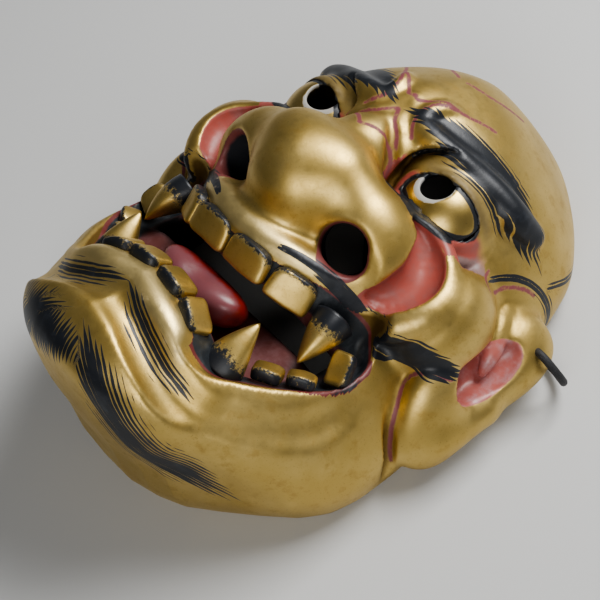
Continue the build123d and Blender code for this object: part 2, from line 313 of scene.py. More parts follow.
# nose: bridge, body, tip, wings, and the crease round its root
clay.add(ball((0, 27, 70.5), (13, 17, 12.5)), 5)
clay.add(ball((0, 9, 77.5), (18, 17.5, 17.5)), 7)
clay.add(ball((0, 0.5, 75), (16, 14.5, 17.5)), 11)
clay.add(ball((30, 8, 60), (17, 18, 18)), 6)
clay.add(tube([(12, 12, 80), (24, 10, 71)], [11, 12]), 8)
NOSE_ROOT = [(2, 43, 80), (7, 39.5, 78), (11, 35, 75.5), (14.5, 30, 71), (17, 25.5, 68), (22, 23, 67)]
clay.cut(tube(NOSE_ROOT, [1.5, 2, 2.4, 2.6, 2.2, 1.5]), 2)

# crescents beside the nose
CHEEK_RIDGE = [
    (33, 22, 68), (40, 24.6, 63.8), (46, 24.4, 60), (53.5, 18.5, 56.5),
    (58, 11.5, 55), (58.5, 3, 54.5), (53.5, -6, 53.5), (45, -10, 52),
]
CRESCENT_LINE = [
    (36, 20.5, 69), (41.5, 20.2, 65.5), (47.6, 16.2, 64), (51.5, 10, 63),
    (51.2, 4, 62), (47.5, -2.7, 60), (40.5, -7, 58.5),
]
clay.add(tube(CHEEK_RIDGE, [1.6, 2.6, 3.4, 5.4, 7, 7.2, 6.2, 4.5]), 2)
CRESCENT = tube(CRESCENT_LINE, [1.6, 3.2, 6, 7, 6.8, 5, 2.2])
clay.cut(CRESCENT, 0.9)
face = clay.d.copy()

# nostrils
NOSTRIL_AXIS = np.array((0.5, -0.42, 0.75)) / math.sqrt(0.9889)
nostril_top = np.array((27.0, -1.5, 68.0))
drop = np.array((1.7, -2.0, -1.6))
upper_hole = tube([nostril_top + NOSTRIL_AXIS * 14, nostril_top - NOSTRIL_AXIS * 45], 8.3)
lower_hole = tube([nostril_top + drop + NOSTRIL_AXIS * 14, nostril_top - NOSTRIL_AXIS * 45], 8.1)
NOSTRIL = (
    lambda x, y, z: np.minimum(upper_hole[0](x, y, z), lower_hole[0](x, y, z)),
    upper_hole[1] - 3,
    upper_hole[2] + 3,
)
clay.cut(NOSTRIL, 3)

# lips
clay.add(tube([(x, y - 4, z - 4.6) for x, y, z in LOWER_LIP[:6]], 4), 7)
clay.add(tube([(x, y + 2.6, z - 3.2) for x, y, z in UPPER_LIP[:5]], 2.4), 9)

# mouth pocket: gums slope in from the lips, then the walls drop to the floor
rim = curve_through(LOWER_LIP + UPPER_LIP[-2::-1], 2.0)
rim_plan = np.vstack([rim, (rim * (-1, 1, 1))[::-1]])
gx, gy = clay.x[:, :, 0], clay.y[:, :, 0]
mouth_plan = outline(rim_plan, gx, gy)
weight = 0
rim_height = 0
for x, y, z in rim:
    w = 1 / ((gx - x)**2 + (gy - y)**2 + 1) ** 2
    weight = weight + w
    rim_height = rim_height + w * z
rim_height = rim_height / weight
depth = rim_height[:, :, None] - clay.z
pocket = mouth_plan[:, :, None] + 0.3 + 0.75 * smooth_min(depth, 10.0, 3)
pocket = smooth_max(pocket, smooth_min(rim_height[:, :, None] - 8.5, 50.0, 3) - clay.z, 4)
clay.d = smooth_max(clay.d, -pocket, 0.8)

# carved-out back, throat, rim plane
inner = smooth_max(dome(clay, INNER), face + WALL, 4)
clay.d = smooth_max(clay.d, -inner, 2)
throat = np.maximum(np.maximum(clay.x - 44, abs(clay.y + 29) - 5), abs(clay.z - 40) - 22)
clay.d = smooth_max(clay.d, -throat, 4)
clay.d = smooth_max(clay.d, -ball(EYE, (EYE_R - 0.4,) * 3)[0](clay.x, clay.y, clay.z), 0.5)
clay.d = np.maximum(clay.d, -clay.z)


def polygonise(clay):
    """Closed mesh of the mirrored block: points in millimetres, and quads."""
    whole = np.concatenate([clay.d[:0:-1], clay.d]).astype(np.float32)
    grid = openvdb.FloatGrid(3.0)
    grid.copyFromArray(np.clip(whole, -3, 3))
    points, quads = grid.convertToQuads(isovalue=0.0)
    origin = np.array((-clay.axes[0][-1], clay.axes[1][0], clay.axes[2][0]))
    return points * VOX + origin, quads


points, quads = polygonise(clay)


# ---------------------------------------------------------------- where the paint goes
def sample(field, places):
    """Values of a grid field at places in millimetres; the right half reads the left one."""
    u = [(abs(places[:, 0]) - clay.axes[0][0]) / VOX] + [(places[:, i] - clay.axes[i][0]) / VOX for i in (1, 2)]
    low = [np.clip(np.floor(v).astype(int), 0, n - 2) for v, n in zip(u, field.shape)]
    part = [np.clip(v - i, 0, 1) for v, i in zip(u, low)]
    total = 0
    for corner in np.ndindex(2, 2, 2):
        i, j, k = (share if step else 1 - share for share, step in zip(part, corner))
        total = total + i * j * k * field[low[0] + corner[0], low[1] + corner[1], low[2] + corner[2]]
    return total


def blur(field, reach):
    """Running mean along each axis."""
    for axis in range(3):
        pad = [(reach + 1, reach) if a == axis else (0, 0) for a in range(3)]
        total = np.cumsum(np.pad(field, pad, mode="reflect"), axis=axis)
        size = 2 * reach + 1
        ahead = np.take(total, range(size, total.shape[axis]), axis)
        field = (ahead - np.take(total, range(total.shape[axis] - size), axis)) / size
    return field


def ribbon(line, places, normals):
    """Distance across and along a painted band, and how far inside it as a share of its half width."""
    p = curve_through(line, 2.0)
    best = np.full(len(places), 1e9)
    across = np.full(len(places), 99.0)
    along = np.zeros(len(places))
    half = np.ones(len(places))
    facings = []
    for a in p:
        close = ((places - a[:3])**2).sum(1) < max(a[3], 4) ** 2
        facing = normals[close].sum(0)
        facings.append(facing / (np.linalg.norm(facing) + 1e-9))
    facings = np.array(facings)
    for _ in range(3):
        facings[1:-1] = (facings[:-2] + 2 * facings[1:-1] + facings[2:]) / 4
    start = 0.0
    for i, (a, b) in enumerate(zip(p, p[1:])):
        v = (b - a)[:3]
        size = np.linalg.norm(v)
        q = places - a[:3]
        t = q @ v / size**2
        t = t.clip(-1e9 if i == 0 else 0, 1e9 if i == len(p) - 2 else 1)
        off = q - t[:, None] * v
        gap = np.linalg.norm(off, axis=1)
        near = gap < best
        best[near] = gap[near]
        share = t.clip(0, 1)[near, None]
        side = np.cross(v / size, facings[i] * (1 - share) + facings[i + 1] * share)
        across[near] = (off[near] * side).sum(1)
        along[near] = (start + t * size)[near]
        half[near] = (a[3] + t.clip(0, 1) * (b[3] - a[3]))[near]
        start += size
    inside = 1 - (abs(across) / half) ** 1.4
    past = np.maximum(-along, along - start).clip(0)
    return across, along, inside - past / (2.2 * half), best


places = points.astype(float)
shell_mesh = bpy.data.meshes.new("gilt_shell")
shell_mesh.from_pydata((points * MM).tolist(), [], quads.tolist())
shell_mesh.validate()
shell_mesh.shade_smooth()
normals = np.zeros(len(places) * 3, np.float32)
shell_mesh.vertices.foreach_get("normal", normals)
normals = normals.reshape(-1, 3).astype(float)
skin_tree = BVHTree.FromPolygons(points.tolist(), quads.tolist())


def on_skin(line, step=2.0):
    """Points of a smooth line moved to the nearest place on the carving."""
    out = []
    for p in curve_through(line, step):
        out.append((*skin_tree.find_nearest(Vector(p[:3]))[0], *p[3:]))
    return out


# Bands of hair: centre line points with half widths, then how dense the strokes are
HAIR = [
    ([(13.5, 52.5, 76, 5), (20, 53, 72.5, 7.5), (28, 54, 69, 9), (36, 55, 64, 9.5), (43.5, 55.5, 58.5, 10),
      (49, 56, 53.5, 9.5)], 1.5),
    ([(18, -18.8, 76.2, 1.4), (23, -16.4, 74, 2), (30, -13.8, 69.4, 2.6), (37.7, -11.7, 61.5, 3.4), (45, -10.7, 53, 5),
      (54, -10, 52, 6), (60, -7.5, 49, 6.5), (66, -4, 45.5, 6), (71, -0.5, 41, 4.5)], 1.3),
    ([(14, -92, 87.5, 6), (21, -95, 79, 9), (28, -95.5, 65, 11), (33.5, -93, 51, 11.5), (42, -86, 39, 10)], 0.95),
    ([(6, -68.5, 88, 4), (13, -71, 85, 6), (20, -73, 82, 6.5), (27, -74.5, 78, 6), (35, -75, 72.5, 4)], 0.55),
    ([(57, 34.5, 42.5, 1.8), (58.6, 39, 40.5, 2.2), (61, 45, 36, 2.4), (63.6, 49.5, 28, 3), (67, 51, 18, 3.6),
      (69, 48, 8, 3.6)], 0.8),
    ([(64.5, 56.5, 24, 3), (62.5, 64, 18, 3.5), (58, 74, 12, 4), (52, 83, 9, 3)], 0.5),
]
# The chin's tuft lies to one side of the middle, and its hairs run across its line
GOATEE = [(-20, -92, 82, 9), (-10, -95, 84, 11), (-1, -95.5, 86, 8)]
# Painted lines in the folds of the forehead, the nose bridge, the eye's corner and the jaw
CREASES = [
    [(0, 31, 83), (4.7, 33.9, 81), (9.6, 34.4, 74), (13, 31.3, 70), (16, 26.5, 67)],
    [(0.3, 47.5, 77), (4, 42.5, 77), (8.3, 39.5, 75.5), (11, 37, 70)],
    [(12.3, 42.3, 74.6), (8, 48, 78), (8.6, 56, 77.5), (14.5, 63, 73)],
    [(0, 56, 77), (2.5, 54.8, 77.2), (7.4, 59.4, 76.3), (14.5, 63, 73), (19.3, 67.3, 67.3), (23.6, 70.4, 62.8)],
    [(2, 76, 65), (10, 80, 60), (17, 87.2, 48)],
    [(55, 35, 45), (57.5, 31, 46), (61, 26, 46)],
    [(61.5, 33, 41), (61.5, 38.7, 38), (64, 44.6, 33), (66, 47.3, 28.7)],
    [(73, -1, 36), (67, -6, 37), (64, -12, 37), (67, -19, 33), (70, -26, 25), (72.5, -30, 16)],
]

# Values that the paint reads at each vertex; both halves read the left one, apart from the tuft
mirror = places.copy()
mirror[:, 0] = abs(mirror[:, 0])
mirror_normals = normals.copy()
mirror_normals[:, 0] *= np.where(places[:, 0] < 0, -1, 1)
x, y, z = mirror.T
paint = {}
paint["skin"] = sample(np.clip(face, -30, 6), places)
paint["relief"] = sample(blur(np.clip(face, -6, 6), 3), places) - paint["skin"].clip(-1, 1)
paint["back"] = sample(np.clip(inner, -6, 20), places)
outer = paint["skin"] > -1.6

BARE = -3.0  # density where there is no hair at all
across = np.zeros(len(places))
along = np.zeros(len(places))
density = np.full(len(places), BARE)
bands = [(line, mirror, mirror_normals, strength, 24) for line, strength in HAIR]
bands.append((GOATEE, places, normals, 1.0, 16))
for line, spots, facings, strength, reach in bands:
    side, run, inside, gap = ribbon(on_skin(line), spots, facings)
    inside = np.where((gap < reach) & outer, inside + 0.35 * (strength - 1) * (1 + inside), BARE)
    inside = inside * max(strength, 1)
    if line is GOATEE:
        side, run = run, side
    denser = inside > density
    density[denser], across[denser], along[denser] = inside[denser], side[denser], run[denser]

FAR_OFF = 9.0
crease = np.full(len(places), FAR_OFF)
for line in CREASES:
    gap = tube(on_skin(line, 1.5), 0, 1.5)[0](x, y, z)
    crease = np.minimum(crease, np.where(outer, gap, FAR_OFF))
paint["crease"] = crease
paint["crescent"] = CRESCENT[0](x, y, z)
paint["concha"] = CONCHA[0](x, y, z)
paint["nostril"] = NOSTRIL[0](x, y, z)

# the lid's edge seen from the middle of the eyeball
look = mirror - EYE
look_r = np.linalg.norm(look, axis=1)
look_u, look_v = (look @ axis * EYE_R / look_r for axis in (EYE_U, EYE_V))
lid = outline(eye_smooth, look_u, look_v)
paint["lid"] = np.where((look @ EYE_N > 2) & (look_r < EYE_R + 9), lid, 30)
paint["lid_height"] = look_v + 0.35 * (look_u + 4)
paint["lid_outward"] = look_u

# how far into the mouth from the lips, and how far from the throat slot
inside_mouth = -sample(np.repeat(mouth_plan[:, :, None], 2, 2), mirror * (1, 1, 0))
below_rim = sample(np.clip(depth, -60, 60), places)
paint["mouth"] = np.where(inside_mouth > -0.6, np.hypot(inside_mouth.clip(0), below_rim.clip(0)), -2)
paint["mouth"] = np.where(paint["skin"] < 0.8, paint["mouth"], -2)
paint["throat"] = abs(mirror[:, 1] + 30) + 0.35 * (mirror[:, 2] - 48).clip(0, 60)
for name, values in paint.items():
    layer = shell_mesh.attributes.new(name, "FLOAT", "POINT")
    layer.data.foreach_set("value", np.asarray(values, np.float32))
layer = shell_mesh.attributes.new("hair", "FLOAT_VECTOR", "POINT")
layer.data.foreach_set("vector", np.stack([across, along, density], 1).astype(np.float32).ravel())


# ---------------------------------------------------------------- materials
def node(tree, kind, inputs=None, **settings):
    """A shader node with its settings, and inputs that are numbers, colours or sockets."""
    made = tree.nodes.new("ShaderNode" + kind)
    for key, value in settings.items():
        setattr(made, key, value)
    for key, value in (inputs or {}).items():
        if isinstance(value, bpy.types.NodeSocket):
            tree.links.new(value, made.inputs[key])
        else:
            made.inputs[key].default_value = value
    return made


def blend(tree, share, a, b):
    """Colour b over colour a."""
    return node(tree, "Mix", {0: share, 6: a, 7: b}, data_type="RGBA").outputs[2]


def maths(tree, operation, a, b=0.0, c=0.0):
    return node(tree, "Math", {0: a, 1: b, 2: c}, operation=operation).outputs[0]


def step_up(tree, value, low, high):
    """0 below low, 1 above high, smooth between; low above high turns it round."""
    made = node(tree, "MapRange", {"Value": value, "From Min": low, "From Max": high}, interpolation_type="SMOOTHSTEP")
    return made.outputs[0]


def noise(tree, vector, scale, detail=3.0, rough=0.55):
    made = node(tree, "TexNoise", {"Vector": vector, "Scale": scale, "Detail": detail, "Roughness": rough})
    return made.outputs[0]


def value_of(tree, name):
    return node(tree, "Attribute", attribute_name=name).outputs["Fac"]


def rgb(r, g, b):
    return (r, g, b, 1.0)


INK = rgb(0.014, 0.016, 0.020)
PINK = rgb(0.36, 0.085, 0.065)
LEAF_METAL = 0.94


def start_material(name):
    material = bpy.data.materials.new(name)
    material.use_nodes = True
    tree = material.node_tree
    where = node(tree, "TexCoord").outputs["Object"]
    return material, tree, tree.nodes["Principled BSDF"], where


def gilding(tree, where, relief=None):
    """Aged leaf: colour, roughness and height; darker in hollows with soot and painted shade, rubbed, speckled and
    given a painted highlight on ridges.
    """
    broad = noise(tree, where, 45, 4)
    cloud = noise(tree, where, 190, 4, 0.62)
    speck = noise(tree, where, 1500, 2, 0.7)
    colour = blend(tree, step_up(tree, broad, 0.35, 0.7), rgb(0.54, 0.385, 0.125), rgb(0.64, 0.475, 0.18))
    worn = maths(tree, "MULTIPLY", step_up(tree, cloud, 0.52, 0.72), 0.45)
    spotted = maths(tree, "MULTIPLY", step_up(tree, speck, 0.60, 0.72), 0.35)
    colour = blend(tree, worn, colour, rgb(0.40, 0.255, 0.07))
    colour = blend(tree, spotted, colour, rgb(0.24, 0.155, 0.05))
    rough = maths(tree, "MULTIPLY_ADD", cloud, 0.22, 0.27)
    rough = maths(tree, "MULTIPLY_ADD", speck, 0.12, rough)
    if relief is not None:
        dust_shade_and_highlight = maths(tree, "ADD", relief, maths(tree, "MULTIPLY_ADD", cloud, 0.9, -0.45))
        # painted shade with soot: the leaf turns dark brown in the hollows of the carving
        low = step_up(tree, dust_shade_and_highlight, -0.15, -1.1)
        colour = blend(tree, maths(tree, "MULTIPLY", low, 0.85), colour, rgb(0.13, 0.070, 0.020))
        rough = maths(tree, "MULTIPLY_ADD", low, 0.22, rough)
        # painted highlight on ridges, also standing for rubbed leaf: the leaf turns pale on the high places of the
        # carving
        high = step_up(tree, dust_shade_and_highlight, 0.75, 1.6)
        colour = blend(tree, maths(tree, "MULTIPLY", high, 0.55), colour, rgb(0.80, 0.65, 0.33))
    return colour, rough, speck, cloud


def lay(tree, state, mask, colour, rough):
    """Paint over the gilding: state holds colour, roughness and how much is still metal."""
    left = maths(tree, "SUBTRACT", 1.0, mask)
    return (
        blend(tree, mask, state[0], colour),
        maths(tree, "MULTIPLY_ADD", mask, rough, maths(tree, "MULTIPLY", state[1], left)),
        maths(tree, "MULTIPLY", state[2], left),
    )


def finish_material(tree, shader, state, height, strength, distance=0.0002):
    for name, value in zip(("Base Color", "Roughness", "Metallic"), state):
        if isinstance(value, bpy.types.NodeSocket):
            tree.links.new(value, shader.inputs[name])
        else:
            shader.inputs[name].default_value = value
    bump = node(tree, "Bump", {"Strength": strength, "Distance": distance, "Height": height})
    tree.links.new(bump.outputs[0], shader.inputs["Normal"])


def both(tree, a, b):
    return maths(tree, "MULTIPLY", a, b)


def frayed(tree, value, wander, amount):
    """A value pushed up and down by noise, so that the edge it makes is hand-painted."""
    return maths(tree, "MULTIPLY_ADD", wander, amount, value)


shell_paint, tree, shader, where = start_material("gilt_and_painted_wood")
relief = value_of(tree, "relief")
colour, rough, speck, cloud = gilding(tree, where, relief)
state = (colour, rough, LEAF_METAL)
wander = maths(tree, "MULTIPLY_ADD", noise(tree, where, 420, 4, 0.7), 1.6, -0.8)
dust = step_up(tree, cloud, 0.4, 0.75)

# crescents and ears
crescent = value_of(tree, "crescent")
mask = step_up(tree, frayed(tree, crescent, wander, 0.25), 0.6, 0.3)
pink = blend(tree, dust, PINK, rgb(0.30, 0.10, 0.085))
state = lay(tree, state, mask, pink, 0.42)
concha = value_of(tree, "concha")
mask = step_up(tree, frayed(tree, concha, wander, 0.3), 0.7, 0.3)
mauve = blend(tree, dust, rgb(0.40, 0.12, 0.10), rgb(0.42, 0.22, 0.22))
state = lay(tree, state, mask, mauve, 0.36)

# nostrils: red rims, and painted shade deep in the holes
nostril = value_of(tree, "nostril")
skin = value_of(tree, "skin")
near_nose = step_up(tree, frayed(tree, nostril, wander, 0.3), 1.0, 0.6)
state = lay(tree, state, near_nose, rgb(0.20, 0.055, 0.05), 0.5)
# painted shade: black ink more than 2.6 mm below the face inside the nostril holes
nostril_depth_shade = step_up(tree, frayed(tree, skin, wander, 0.8), -2.6, -4.2)
state = lay(tree, state, both(tree, near_nose, nostril_depth_shade), INK, 0.8)

# lids
lid = value_of(tree, "lid")
lid_height = value_of(tree, "lid_height")
lower = step_up(tree, lid_height, 4.5, 1.5)
outward = value_of(tree, "lid_outward")
reach = maths(tree, "MULTIPLY_ADD", step_up(tree, outward, 5, 12), 2.6, 1.7)
over = maths(tree, "SUBTRACT", frayed(tree, lid, wander, 0.4), reach)
fade = step_up(tree, outward, 17.5, 15.5)
state = lay(tree, state, both(tree, fade, both(tree, lower, step_up(tree, over, 0.5, -0.1))), pink, 0.42)
grey = both(tree, both(tree, fade, lower), both(tree, step_up(tree, over, -1.3, -0.7), step_up(tree, over, 0.9, 0.3)))
grey = both(tree, grey, both(tree, step_up(tree, outward, 7, 12), 0.7))
state = lay(tree, state, grey, rgb(0.20, 0.19, 0.18), 0.5)
# painted shade under the brow's overhang: dark brown above the upper lid's edge
painted_brow_shade = both(tree, step_up(tree, lid_height, 2, 8), step_up(tree, frayed(tree, lid, wander, 1.2), 6.5, 1.5))
state = lay(tree, state, both(tree, painted_brow_shade, 0.75), rgb(0.035, 0.024, 0.012), 0.55)
state = lay(tree, state, step_up(tree, frayed(tree, lid, wander, 0.3), 1.0, 0.6), INK, 0.45)

# mouth: red edge, dark gums, dusty floor, painted shade in the throat
mouth = value_of(tree, "mouth")
in_mouth = step_up(tree, frayed(tree, mouth, wander, 0.25), 0.1, 0.4)
red_edge = blend(tree, dust, rgb(0.15, 0.028, 0.024), rgb(0.20, 0.065, 0.062))
state = lay(tree, state, in_mouth, red_edge, 0.45)
gum = step_up(tree, frayed(tree, mouth, wander, 0.5), 1.5, 2.2)
gum_colour = blend(tree, step_up(tree, cloud, 0.45, 0.7), rgb(0.020, 0.024, 0.028), rgb(0.050, 0.056, 0.062))
state = lay(tree, state, gum, gum_colour, 0.4)
floor_share = step_up(tree, frayed(tree, mouth, wander, 1.5), 12.5, 15)
state = lay(tree, state, floor_share, blend(tree, dust, rgb(0.16, 0.05, 0.045), rgb(0.22, 0.10, 0.10)), 0.5)
throat = value_of(tree, "throat")
# painted shade: near-black on the mouth floor deep in the mouth beside the throat slot
painted_throat_shade = both(tree, floor_share, step_up(tree, frayed(tree, throat, wander, 2.5), 8, 3))
state = lay(tree, state, painted_throat_shade, rgb(0.008, 0.008, 0.009), 0.7)

# creases and hair
crease = value_of(tree, "crease")
mask = step_up(tree, frayed(tree, crease, wander, 0.7), 1.15, 0.45)
state = lay(tree, state, both(tree, mask, step_up(tree, cloud, 0.25, 0.45)), rgb(0.20, 0.055, 0.06), 0.5)
hair = node(tree, "Attribute", attribute_name="hair").outputs["Vector"]
apart = node(tree, "SeparateXYZ", {0: hair})
drift = maths(tree, "MULTIPLY_ADD", noise(tree, where, 60, 2), 0.9, -0.45)
lane = maths(tree, "MULTIPLY_ADD", apart.outputs[0], 0.62, drift)
cell = maths(tree, "FLOOR", lane)
chance = node(tree, "TexWhiteNoise", {"W": cell}, noise_dimensions="1D").outputs["Value"]
ends = node(tree, "CombineXYZ", {"X": cell, "Y": maths(tree, "MULTIPLY", apart.outputs[1], 0.045)})
ragged = noise(tree, ends.outputs[0], 3.1, 1.0, 0.5)
off_centre = maths(tree, "ABSOLUTE", maths(tree, "SUBTRACT", maths(tree, "FRACT", lane), 0.5))
off_centre = maths(tree, "MULTIPLY", off_centre, 2.0)
thick = maths(tree, "MULTIPLY_ADD", apart.outputs[2], 1.35, maths(tree, "MULTIPLY_ADD", chance, 0.6, -0.22))
thick = maths(tree, "ADD", thick, maths(tree, "MULTIPLY_ADD", ragged, 0.9, -0.45))
mask = step_up(tree, maths(tree, "SUBTRACT", thick, off_centre), -0.06, 0.12)
mask = both(tree, mask, step_up(tree, thick, 0.02, 0.12))
faded = blend(tree, step_up(tree, cloud, 0.5, 0.75), INK, rgb(0.030, 0.034, 0.042))
state = lay(tree, state, mask, faded, 0.40)

# rubbed pale patches at some edges, then the bare back
rub = both(tree, step_up(tree, relief, 0.9, 1.7), step_up(tree, cloud, 0.60, 0.72))
state = lay(tree, state, both(tree, rub, 0.35), rgb(0.45, 0.36, 0.22), 0.5)
back = value_of(tree, "back")
stripes = {"Vector": where, "Scale": 38.0, "Distortion": 3.0, "Detail": 3.0, "Detail Scale": 1.6}
grain = node(tree, "TexWave", stripes, bands_direction="X")
wood = blend(tree, grain.outputs["Fac"], rgb(0.115, 0.050, 0.020), rgb(0.21, 0.105, 0.045))
wood = blend(tree, step_up(tree, cloud, 0.45, 0.8), wood, rgb(0.06, 0.025, 0.012))
at_back = step_up(tree, frayed(tree, back, wander, 0.8), 1.6, 0.9)
state = lay(tree, state, at_back, wood, 0.55)
height = maths(tree, "ADD", maths(tree, "MULTIPLY", cloud, 0.7), maths(tree, "MULTIPLY", speck, 0.35))
height = maths(tree, "MULTIPLY_ADD", mask, 0.25, height)
gouge = node(tree, "TexVoronoi", {"Vector": where, "Scale": 95.0}, feature="SMOOTH_F1")
height = maths(tree, "ADD", height, maths(tree, "MULTIPLY", both(tree, at_back, gouge.outputs["Distance"]), 6.0))
finish_material(tree, shader, state, height, 0.35)
shell_mesh.materials.append(shell_paint)

shell = bpy.data.objects.new("gilt_shell", shell_mesh)
bpy.context.collection.objects.link(shell)
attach(shell, "root")
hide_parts("mask_shell")
print("shell quads", len(quads))

# teeth: leaf over the crown, dark where they stand in the gum
tooth_paint, tree, shader, where = start_material("gilt_tooth")
colour, rough, speck, cloud = gilding(tree, where)
state = (colour, rough, LEAF_METAL)
grow = value_of(tree, "grow")
wander = maths(tree, "MULTIPLY_ADD", noise(tree, where, 700, 4, 0.75), 1.0, -0.5)
state = lay(tree, state, step_up(tree, frayed(tree, grow, wander, 0.55), 0.06, -0.06), INK, 0.42)
chipped = both(tree, step_up(tree, frayed(tree, grow, wander, 0.5), 0.93, 1.02), step_up(tree, cloud, 0.42, 0.6))
state = lay(tree, state, chipped, rgb(0.42, 0.38, 0.34), 0.5)
finish_material(tree, shader, state, maths(tree, "ADD", cloud, maths(tree, "MULTIPLY", speck, 0.4)), 0.3)

# eyes: leaf over metal, ink round the lid's edge, a white ring at the hole
eye_paint, tree, shader, where = start_material("gilt_eye_metal")
colour, rough, speck, cloud = gilding(tree, where)
state = (colour, maths(tree, "MULTIPLY", rough, 0.8), 0.96)
wander = maths(tree, "MULTIPLY_ADD", noise(tree, where, 600, 4, 0.7), 1.0, -0.5)
ring = value_of(tree, "ring")
state = lay(tree, state, step_up(tree, frayed(tree, ring, wander, 1.2), 0.7, 0.2), rgb(0.40, 0.385, 0.35), 0.5)
border = value_of(tree, "border")
state = lay(tree, state, step_up(tree, frayed(tree, border, wander, 0.5), -1.2, -0.8), INK, 0.42)
finish_material(tree, shader, state, maths(tree, "ADD", cloud, maths(tree, "MULTIPLY", speck, 0.3)), 0.2)

# tongue: glossy red lacquer with a dusty mauve band
tongue_paint, tree, shader, where = start_material("red_lacquer")
cloud = noise(tree, where, 260, 4, 0.6)
band = value_of(tree, "grow")
red = blend(tree, step_up(tree, cloud, 0.4, 0.7), rgb(0.22, 0.018, 0.012), rgb(0.14, 0.012, 0.010))
dust_shade_and_highlight = both(tree, step_up(tree, maths(tree, "MULTIPLY_ADD", cloud, 0.5, band), 0.4, 0.75), 0.85)
red = blend(tree, dust_shade_and_highlight, red, rgb(0.20, 0.075, 0.085))
state = (red, maths(tree, "MULTIPLY_ADD", cloud, 0.3, 0.2), 0.0)
finish_material(tree, shader, state, cloud, 0.25)

# cord and knots: black braid
cord_paint, tree, shader, where = start_material("black_braid")
run = node(tree, "TexCoord").outputs["UV"]
slanted = node(tree, "Mapping", {"Vector": run, "Rotation": (0, 0, 0.785), "Scale": (120, 6, 1)}).outputs[0]
weave = node(tree, "TexChecker", {"Vector": slanted, "Scale": 1.0})
fibre = noise(tree, where, 2600, 3, 0.7)
thread = blend(tree, step_up(tree, fibre, 0.4, 0.7), rgb(0.010, 0.010, 0.011), rgb(0.045, 0.045, 0.048))
state = (thread, maths(tree, "MULTIPLY_ADD", fibre, 0.3, 0.45), 0.0)
finish_material(tree, shader, state, maths(tree, "ADD", weave.outputs["Fac"], fibre), 0.5)
cord_curve.materials.append(cord_paint)


def piece(name, points, faces, slot, stands_for, material, **values):
    """A smooth mesh piece in millimetres that replaces its CAD node, with values its paint reads."""
    mesh = bpy.data.meshes.new(name)
    mesh.from_pydata((np.array(points, float) * MM).tolist(), [], faces)
    mesh.validate()
    mesh.shade_smooth()
    mesh.materials.append(material)
    for key, numbers in values.items():
        layer = mesh.attributes.new(key, "FLOAT", "POINT")
        layer.data.foreach_set("value", np.asarray(numbers, np.float32))
    made = bpy.data.objects.new(name, mesh)
    bpy.context.collection.objects.link(made)
    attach(made, "root")
    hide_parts(stands_for)
    return made


def ball_grid(rows, columns):
    """Latitude and longitude of a closed ball of quads, and its faces."""
    lat = [math.pi * (i + 1) / (rows + 1) - math.pi / 2 for i in range(rows)]
    lon = [2 * math.pi * j / columns for j in range(columns)]
    grid = [(a, b) for a in lat for b in lon] + [(-math.pi / 2, 0), (math.pi / 2, 0)]
    faces = []
    for i in range(rows - 1):
        for j in range(columns):
            k = (j + 1) % columns
            faces.append((i * columns + j, i * columns + k, (i + 1) * columns + k, (i + 1) * columns + j))
    low, high = rows * columns, rows * columns + 1
    for j in range(columns):
        k = (j + 1) % columns
        faces.append((low, k, j))
        faces.append((high, (rows - 1) * columns + j, (rows - 1) * columns + k))
    return grid, faces


def power(value, exponent):
    return math.copysign(abs(value) ** exponent, value)


def tooth(name, gum, edge, along, width, thickness, side, wear):
    """Shield-shaped tooth: arched at the gum, with square corners and a slightly hollow edge."""
    gum, edge, along = (np.array(v, float) * (side, 1, 1) for v in (gum, edge, along))
    down = edge - gum
    length = np.linalg.norm(down) + 3.0
    down = down / np.linalg.norm(down)
    along = along - down * (along @ down)
    along = along / np.linalg.norm(along)
    out = np.cross(along, down)
    if out[2] < 0:
        out = -out
    middle = edge - down * length / 2
    grid, faces = ball_grid(19, 56)
    points, grow = [], []
    for lat, lon in grid:
        c = power(math.cos(lat), 0.24)
        lower = math.sin(lon) > 0
        u = c * power(math.cos(lon), 0.3 if lower else 0.6)
        v = c * power(math.sin(lon), 0.3 if lower else 0.6)
        n = power(math.sin(lat), 0.6)
        ripple = 0.16 * math.sin(5 * u + wear) * max(v, 0)
        bow = 0.9 * (1 - u * u)
        dip = 0.35 * (1 - u * u) * max(v, 0)
        points.append(
            middle
            + along * u * width / 2 * (1 + 0.03 * v)
            + down * (v * length / 2 + ripple - dip)
            + out * (n * thickness / 2 * (1 - 0.18 * v) + bow + 0.3 * v * v * (1 if v > 0 else 0))
        )
        grow.append(0.5 * (v + 0.78) - 0.22 * min(1.0, abs(u)) ** 5)
    if np.linalg.det(np.array((along, down, out))) < 0:
        faces = [face[::-1] for face in faces]
    return piece(name, points, faces, "tooth_gilt", name, tooth_paint, grow=grow)


def fang(name, base, tip, width, side, bend):
    """Curved fang that narrows to a blunt tip, with a soft ridge down its front."""
    base, tip, bend = (np.array(v, float) * (side, 1, 1) for v in (base, tip, bend))
    axis = tip - base
    axis = axis / np.linalg.norm(axis)
    across = np.cross(axis, (0, 0, 1.0))
    across = across / np.linalg.norm(across)
    front = np.cross(across, axis)
    rings, around = 22, 28
    points, faces, grow = [], [], []
    for i in range(rings):
        t = i / (rings - 1)
        r = width * (1 - t) ** 0.78 * (1 + 0.10 * math.sin(math.pi * t)) + 0.35 * (1 - t**8)
        centre = base + (tip - base) * t + bend * math.sin(math.pi * t)
        for j in range(around):
            a = 2 * math.pi * j / around
            ridge = 1 + 0.06 * math.cos(3 * a)
            points.append(centre + (across * math.cos(a) + front * math.sin(a)) * r * ridge)
            grow.append((t - 0.30 - 0.08 * math.sin(a)) * 0.8)
    for i in range(rings - 1):
        for j in range(around):
            k = (j + 1) % around
            faces.append((i * around + j, i * around + k, (i + 1) * around + k, (i + 1) * around + j))
    points += [base - axis * 1.0, tip + axis * 0.25]
    grow += [-0.3, 0.75]
    for j in range(around):
        k = (j + 1) % around
        faces.append((len(points) - 2, k, j))
        faces.append((len(points) - 1, (rings - 1) * around + j, (rings - 1) * around + k))
    return piece(name, points, faces, "tooth_gilt", name, tooth_paint, grow=grow)


